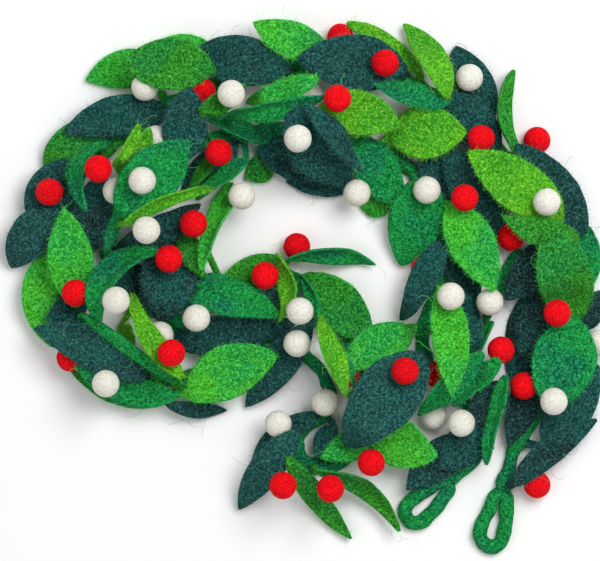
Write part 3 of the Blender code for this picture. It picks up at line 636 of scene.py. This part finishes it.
def leafPath(leaf, rnd):
    root, along, side = leafFrame(leaf)
    roll = math.radians(leaf["roll"])
    wide = leaf["width"] * layout["unit"]
    heavy = rnd.uniform(0.2, 1.0) * leafShape["tipLift"]
    leafSide = np.array([*(side * math.cos(roll)), math.sin(roll)])
    centres, sides, widths = [], [], []
    if leaf["start"] is not None:
        stem = np.array([*root, leaf["heights"][0]]) - leaf["start"]
        flat = stem[:2] / max(np.linalg.norm(stem[:2]), 1e-6)
        stemSide = np.array([-flat[1], flat[0], 0.0])
        for t in np.linspace(0.0, 1.0, leafShape["stemRows"], endpoint=False):
            centres.append(leaf["start"] + stem * t)
            sides.append(stemSide * (1 - t) + leafSide * t)
            widths.append(stemCut["halfWidth"] * (1 - t) + halfWidth(0.0) * wide * t)
    for u in np.linspace(0.0, 1.0, leafShape["rows"]):
        bow = 4 * u * (1 - u) * leaf["bend"] * layout["unit"]
        lift = heavy * (max(0.0, u - leafShape["liftFrom"]) / (1 - leafShape["liftFrom"])) ** 2
        height = np.interp(u, felt["stations"], leaf["heights"]) + lift
        centres.append(np.array([*(root + along * u + side * bow), height]))
        sides.append(leafSide)
        widths.append(max(leafShape["leastHalf"], cutHalfWidth(u) * wide))
    centres = smoothed(np.array(centres), leafShape["easeCentres"])
    return centres, smoothed(np.array(sides), leafShape["easeSides"]), np.array(widths)


def tieShell(start, end, side):
    ahead = end - start
    ahead /= max(np.linalg.norm(ahead), 1e-6)
    across = side - ahead * (side @ ahead)
    across /= np.linalg.norm(across)
    up = np.cross(ahead, across)
    points = []
    for t in np.linspace(0.0, 1.0, leafShape["tieRings"]):
        middle = start * (1 - t) + end * t
        for angle in np.linspace(0.0, 2 * math.pi, leafShape["tieSides"], endpoint=False):
            aside = across * math.cos(angle) * stemCut["halfWidth"]
            points.append(middle + (aside + up * math.sin(angle) * felt["thickness"] / 2))
    return points, ringFaces(leafShape["tieRings"], leafShape["tieSides"])


def curlOf(leaf):
    steep = abs(leaf["roll"])
    if steep < leafShape["foldRoll"]:
        return leafShape["cup"]
    return leafShape["fold"] if steep < leafShape["creaseRoll"] else leafShape["crease"]


def makeLeaf(number, leaf):
    shape = leafShape
    rnd = random.Random(number)
    phase, waves = rnd.uniform(0.0, 6.3), rnd.uniform(*shape["waves"])
    centres, sides, widths = leafPath(leaf, rnd)
    steps = np.sin(np.linspace(-1.0, 1.0, shape["across"]) * math.pi / 2)
    ahead = np.gradient(centres, axis=0)
    ahead /= np.linalg.norm(ahead, axis=1, keepdims=True)
    run = np.concatenate([[0.0], np.cumsum(np.linalg.norm(np.diff(centres, axis=0), axis=1))])
    total = run[-1]
    curl = curlOf(leaf)
    raggedAlong, raggedAcross = shape["raggedScale"]
    points, rimHighlightMask = [], []
    for k, (centre, across, forward) in enumerate(zip(centres, sides, ahead)):
        across = across - forward * (across @ forward)
        across /= np.linalg.norm(across)
        up = np.cross(forward, across)
        u = run[k] / total
        ends = min(1.0, (total - run[k]) / shape["tipRound"][0] + shape["tipRound"][1]) ** 0.5
        if leaf["tie"] is not None:
            ends *= min(1.0, run[k] / shape["rootRound"][0] + shape["rootRound"][1]) ** 0.5
        for level in (1.0, -1.0):
            for a in steps if level > 0 else steps[::-1][1:-1]:
                tear = softNoise((u * raggedAlong + number, a * raggedAcross, 0.0), 1.0)
                edge = widths[k] * (1 + shape["ragged"] * tear)
                cup = curl * widths[k] * abs(a) ** shape["cupPower"]
                swing = math.sin(6.28 * waves * u + phase + (shape["wavePhase"] if a > 0 else 0.0))
                wave = shape["wave"] * swing * a * a
                thick = felt["thickness"] / 2 * math.sqrt(max(0.0, 1 - abs(a) ** shape["rimPower"])) * ends
                p = centre + across * edge * a + up * (cup + wave + level * thick)
                p = p + up * shape["dimple"] * softNoise(p, shape["dimpleScale"])
                points.append(np.array([p[0] + shift[0], p[1] + shift[1], max(clearOfFloor, p[2])]))
                # mask of the painted highlight: full at the cut edges and near the tip
                rimHighlightMask.append(max(abs(a) ** 2, (run[k] / total) ** 12))
                if level > 0:
                    fuzzRoots[leaf["tone"]].append((points[-1], a, across, forward, up, widths[k]))
    faces = ringFaces(len(centres), 2 * shape["across"] - 2)
    if leaf["tie"] is not None:
        start, end = (np.array(e) + np.array([*shift, 0.0]) for e in leaf["tie"])
        more, moreFaces = tieShell(start, end, np.array([*leafFrame(leaf)[2], 0.0]))
        faces += [tuple(i + len(points) for i in face) for face in moreFaces]
        points += more
    obj = feltPiece(f"leaf{leaf['tone'].capitalize()}{number:03d}", points, faces, leaf["tone"])
    # the listed leaves are painted nearly black, partly charcoal dye and partly painted shade; the others get a
    # random tint toward the second colour
    shade = 1.0 if number in shape["nearBlackDyeAndShade"] else rnd.random()
    if leaf["tone"] == "dark" and shade < 1.0:
        shade *= shape["darkShade"]
    # red carries the painted-highlight mask, green the tint, with the painted shade of the nearly black leaves
    layer = obj.data.color_attributes.new("cut", "FLOAT_COLOR", "POINT")
    for k, item in enumerate(layer.data):
        item.color = (rimHighlightMask[k] if k < len(rimHighlightMask) else 0.0, shade, 0.0, 1.0)
    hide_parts("vine")
    # the rounded edges take up one thickness of felt along the leaf
    cut = float(np.sum(np.diff(run) * (widths[1:] + widths[:-1]))) + felt["thickness"] * total
    if leaf["tie"] is not None:
        cut += 2 * stemCut["halfWidth"] * float(np.linalg.norm(np.subtract(*leaf["tie"])))


for number, leaf in enumerate(leaves, 1):
    makeLeaf(number, leaf)
print("leaves cut and laid")


# Fuzz: short wool fibres that stand off the cut edges, and longer pale ones lying on the faces.
fuzzLook = {"edge": 2.1, "face": 0.21, "edgeLength": 0.0022, "faceLength": 0.0055, "width": 0.00013,
            "taper": (1.0, 0.9, 0.7, 0.25), "curl": 75.0, "droop": 0.06, "patch": 60.0, "bleach": 0.07,
            "roughness": 0.9, "slip": 0.0012, "spread": 0.12, "strays": 5, "strayJoints": 12,
            "strayLength": 0.014, "strayWidth": 0.00020, "strayTurn": 0.26, "strayWobble": 0.25,
            "strayRise": 0.00012, "strayStart": 0.0004, "ball": 90, "ballLength": 0.0021, "ballDepth": 0.985}


def fuzzMaterial(tone):
    material = bpy.data.materials.new(f"fuzz{tone.capitalize()}")
    material.use_nodes = True
    tree = material.node_tree
    shader = tree.nodes["Principled BSDF"]
    node = tree.nodes.new("ShaderNodeTexNoise")
    node.inputs["Scale"].default_value = fuzzLook["patch"]
    mix = tree.nodes.new("ShaderNodeMix")
    mix.data_type = "RGBA"
    mix.inputs["A"].default_value = (*tones[tone]["base"], 1.0)
    bleached = (min(0.9, 1.2 * c + fuzzLook["bleach"]) for c in tones[tone]["pale"])
    mix.inputs["B"].default_value = (*bleached, 1.0)
    tree.links.new(tree.nodes.new("ShaderNodeTexCoord").outputs["Object"], node.inputs["Vector"])
    tree.links.new(node.outputs["Fac"], mix.inputs["Factor"])
    tree.links.new(mix.outputs["Result"], shader.inputs["Base Color"])
    shader.inputs["Roughness"].default_value = fuzzLook["roughness"]
    return material


def fuzzPiece(name, points, faces, tone):
    mesh = bpy.data.meshes.new(name)
    mesh.from_pydata([(p[0], p[1], max(clearOfFloor, p[2])) for p in points], [], faces)
    mesh.materials.append(fuzzMaterial(tone))
    placePiece(name, mesh)


def ribbonFaces(first, joints):
    return [(first + 2 * k, first + 2 * k + 1, first + 2 * k + 3, first + 2 * k + 2) for k in range(joints)]


def fibre(points, faces, root, heading, turn, length, width):
    heading = heading / np.linalg.norm(heading)
    here, aside = root, np.cross(heading, turn)
    aside /= max(np.linalg.norm(aside), 1e-6)
    joints = len(fuzzLook["taper"]) - 1
    faces += ribbonFaces(len(points), joints)
    for share in fuzzLook["taper"]:
        half = aside * width * share / 2
        points += [here - half, here + half]
        here = here + heading * length / joints
        heading = heading + aside * fuzzLook["curl"] * length
        heading[2] -= fuzzLook["droop"]
        heading /= np.linalg.norm(heading)


def strayHair(points, faces, rnd, here, across, forward, up):
    spin, turn = rnd.uniform(0.0, 6.28), rnd.uniform(-fuzzLook["strayTurn"], fuzzLook["strayTurn"])
    joints = fuzzLook["strayJoints"]
    step = fuzzLook["strayLength"] * rnd.uniform(0.5, 1.3) / joints
    faces += ribbonFaces(len(points), joints)
    for _ in range(joints + 1):
        heading = across * math.cos(spin) + forward * math.sin(spin)
        aside = np.cross(heading, up) * fuzzLook["strayWidth"] / 2
        points += [here - aside, here + aside]
        here = here + heading * step + up * fuzzLook["strayRise"]
        spin += turn + rnd.uniform(-fuzzLook["strayWobble"], fuzzLook["strayWobble"])


def makeFuzz(tone, roots, number):
    rnd = random.Random(100 + number)
    points, faces = [], []
    for place, a, across, forward, up, wide in roots:
        onEdge = abs(a) > 0.99
        tries = fuzzLook["edge"] if onEdge else fuzzLook["face"]
        while rnd.random() < tries:
            tries -= 1
            spin = rnd.uniform(0.0, 6.28)
            if onEdge:
                heading = across * a + forward * rnd.uniform(-1.2, 1.2) + up * rnd.uniform(-0.3, 0.7)
                length = fuzzLook["edgeLength"] * rnd.uniform(0.5, 1.6)
            else:
                heading = across * math.cos(spin) + forward * math.sin(spin) + up * 0.12
                length = fuzzLook["faceLength"] * rnd.uniform(0.4, 1.5)
            root = place + forward * rnd.uniform(-fuzzLook["slip"], fuzzLook["slip"])
            inward = rnd.uniform(-fuzzLook["spread"], fuzzLook["spread"]) * wide
            if not onEdge:
                root = root + across * inward
            turn = up if rnd.random() < 0.5 else -up
            fibre(points, faces, root, heading, turn, length, fuzzLook["width"] * rnd.uniform(0.7, 1.3))
    for _ in range(fuzzLook["strays"] * len(roots) // (leafShape["rows"] * leafShape["across"])):
        place, _, across, forward, up, _ = rnd.choice(roots)
        strayHair(points, faces, rnd, place + up * fuzzLook["strayStart"], across, forward, up)
    fuzzPiece(f"fuzz{tone.capitalize()}", points, faces, tone)


for number, (tone, roots) in enumerate(fuzzRoots.items()):
    if roots:
        makeFuzz(tone, roots, number)
print("fibres drawn out")


# Balls: wool felted hard in the hand, so round but never quite true, with a fine nap.
ballLook = {"lump": 0.00022, "lumpScale": 1.6, "nub": 0.00006, "nubScale": 16, "smooth": 0.35, "fineness": 4}


def makeBall(number, ball):
    node = f"ball_{ball['tone']}_{number:02d}"
    centre = Vector(boxMiddle(node))
    seed = Vector((number * 3.7, 0.0, 0.0))
    work = bmesh.new()
    bmesh.ops.create_icosphere(work, subdivisions=ballLook["fineness"], radius=1.0)
    for vert in work.verts:
        n = vert.co.normalized()
        lump = ballLook["lump"] * noise.noise(n * ballLook["lumpScale"] + seed)
        nub = ballLook["nub"] * noise.noise(n * ballLook["nubScale"] + seed)
        vert.co = centre + n * (ballCut["radius"] + lump + nub)
    mesh = bpy.data.meshes.new("ball")
    work.to_mesh(mesh)
    work.free()
    mesh.shade_smooth()
    mesh.materials.append(feltMaterial(ball["tone"], ballLook["smooth"]))
    obj = placePiece(f"ball{ball['tone'].capitalize()}{number:02d}", mesh)
    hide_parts(node)


def makeBallFuzz(tone, centres, number):
    rnd = random.Random(500 + number)
    points, faces = [], []
    for centre in centres:
        for _ in range(fuzzLook["ball"]):
            out = np.array([rnd.gauss(0.0, 1.0), rnd.gauss(0.0, 1.0), rnd.gauss(0.0, 1.0)])
            out /= np.linalg.norm(out)
            aside = np.cross(out, np.array([0.3, 0.5, 0.81]))
            heading = out * rnd.uniform(0.15, 0.8) + aside * rnd.uniform(-1.0, 1.0)
            place = centre + out * ballCut["radius"] * fuzzLook["ballDepth"]
            length = fuzzLook["ballLength"] * rnd.uniform(0.5, 1.5)
            fibre(points, faces, place, heading, aside, length, fuzzLook["width"])
    fuzzPiece(f"ballFuzz{tone.capitalize()}", points, faces, tone)


for number, ball in enumerate(balls, 1):
    makeBall(number, ball)
for number, tone in enumerate(("white", "red")):
    centres = [boxMiddle(f"ball_{tone}_{k:02d}") for k, ball in enumerate(balls, 1) if ball["tone"] == tone]
    makeBallFuzz(tone, centres, number)
print("balls placed")


# Floor and light.
studio = {"floor": (0.96, 0.96, 0.965), "reach": 3, "roughness": 0.8, "air": 0.43,
          "lamps": {"key": ((0.6, 0.55, 1.5), 0.9, 21.0), "fill": ((-0.9, -0.4, 1.3), 1.2, 4.0)}}


def makeStudio():
    mesh = bpy.data.meshes.new("floor")
    far = studio["reach"]
    mesh.from_pydata([(-far, -far, 0), (far, -far, 0), (far, far, 0), (-far, far, 0)], [], [(0, 1, 2, 3)])
    floor = bpy.data.objects.new("floor", mesh)
    material = bpy.data.materials.new("paleFloor")
    material.use_nodes = True
    shader = material.node_tree.nodes["Principled BSDF"]
    shader.inputs["Base Color"].default_value = (*studio["floor"], 1.0)
    shader.inputs["Roughness"].default_value = studio["roughness"]
    mesh.materials.append(material)
    bpy.context.scene.collection.objects.link(floor)
    for name, (place, size, power) in studio["lamps"].items():
        data = bpy.data.lights.new(name, "AREA")
        data.size = size
        data.energy = power
        lamp = bpy.data.objects.new(name, data)
        lamp.location = place
        lamp.rotation_euler = (-Vector(place)).to_track_quat("-Z", "Y").to_euler()
        bpy.context.scene.collection.objects.link(lamp)
    world = bpy.data.worlds.new("air")
    world.use_nodes = True
    world.node_tree.nodes["Background"].inputs["Color"].default_value = (1.0, 1.0, 1.0, 1.0)
    world.node_tree.nodes["Background"].inputs["Strength"].default_value = studio["air"]
    bpy.context.scene.world = world
    bpy.context.scene.view_settings.view_transform = "Standard"


makeStudio()
bpy.context.view_layer.update()
print("garland finished")
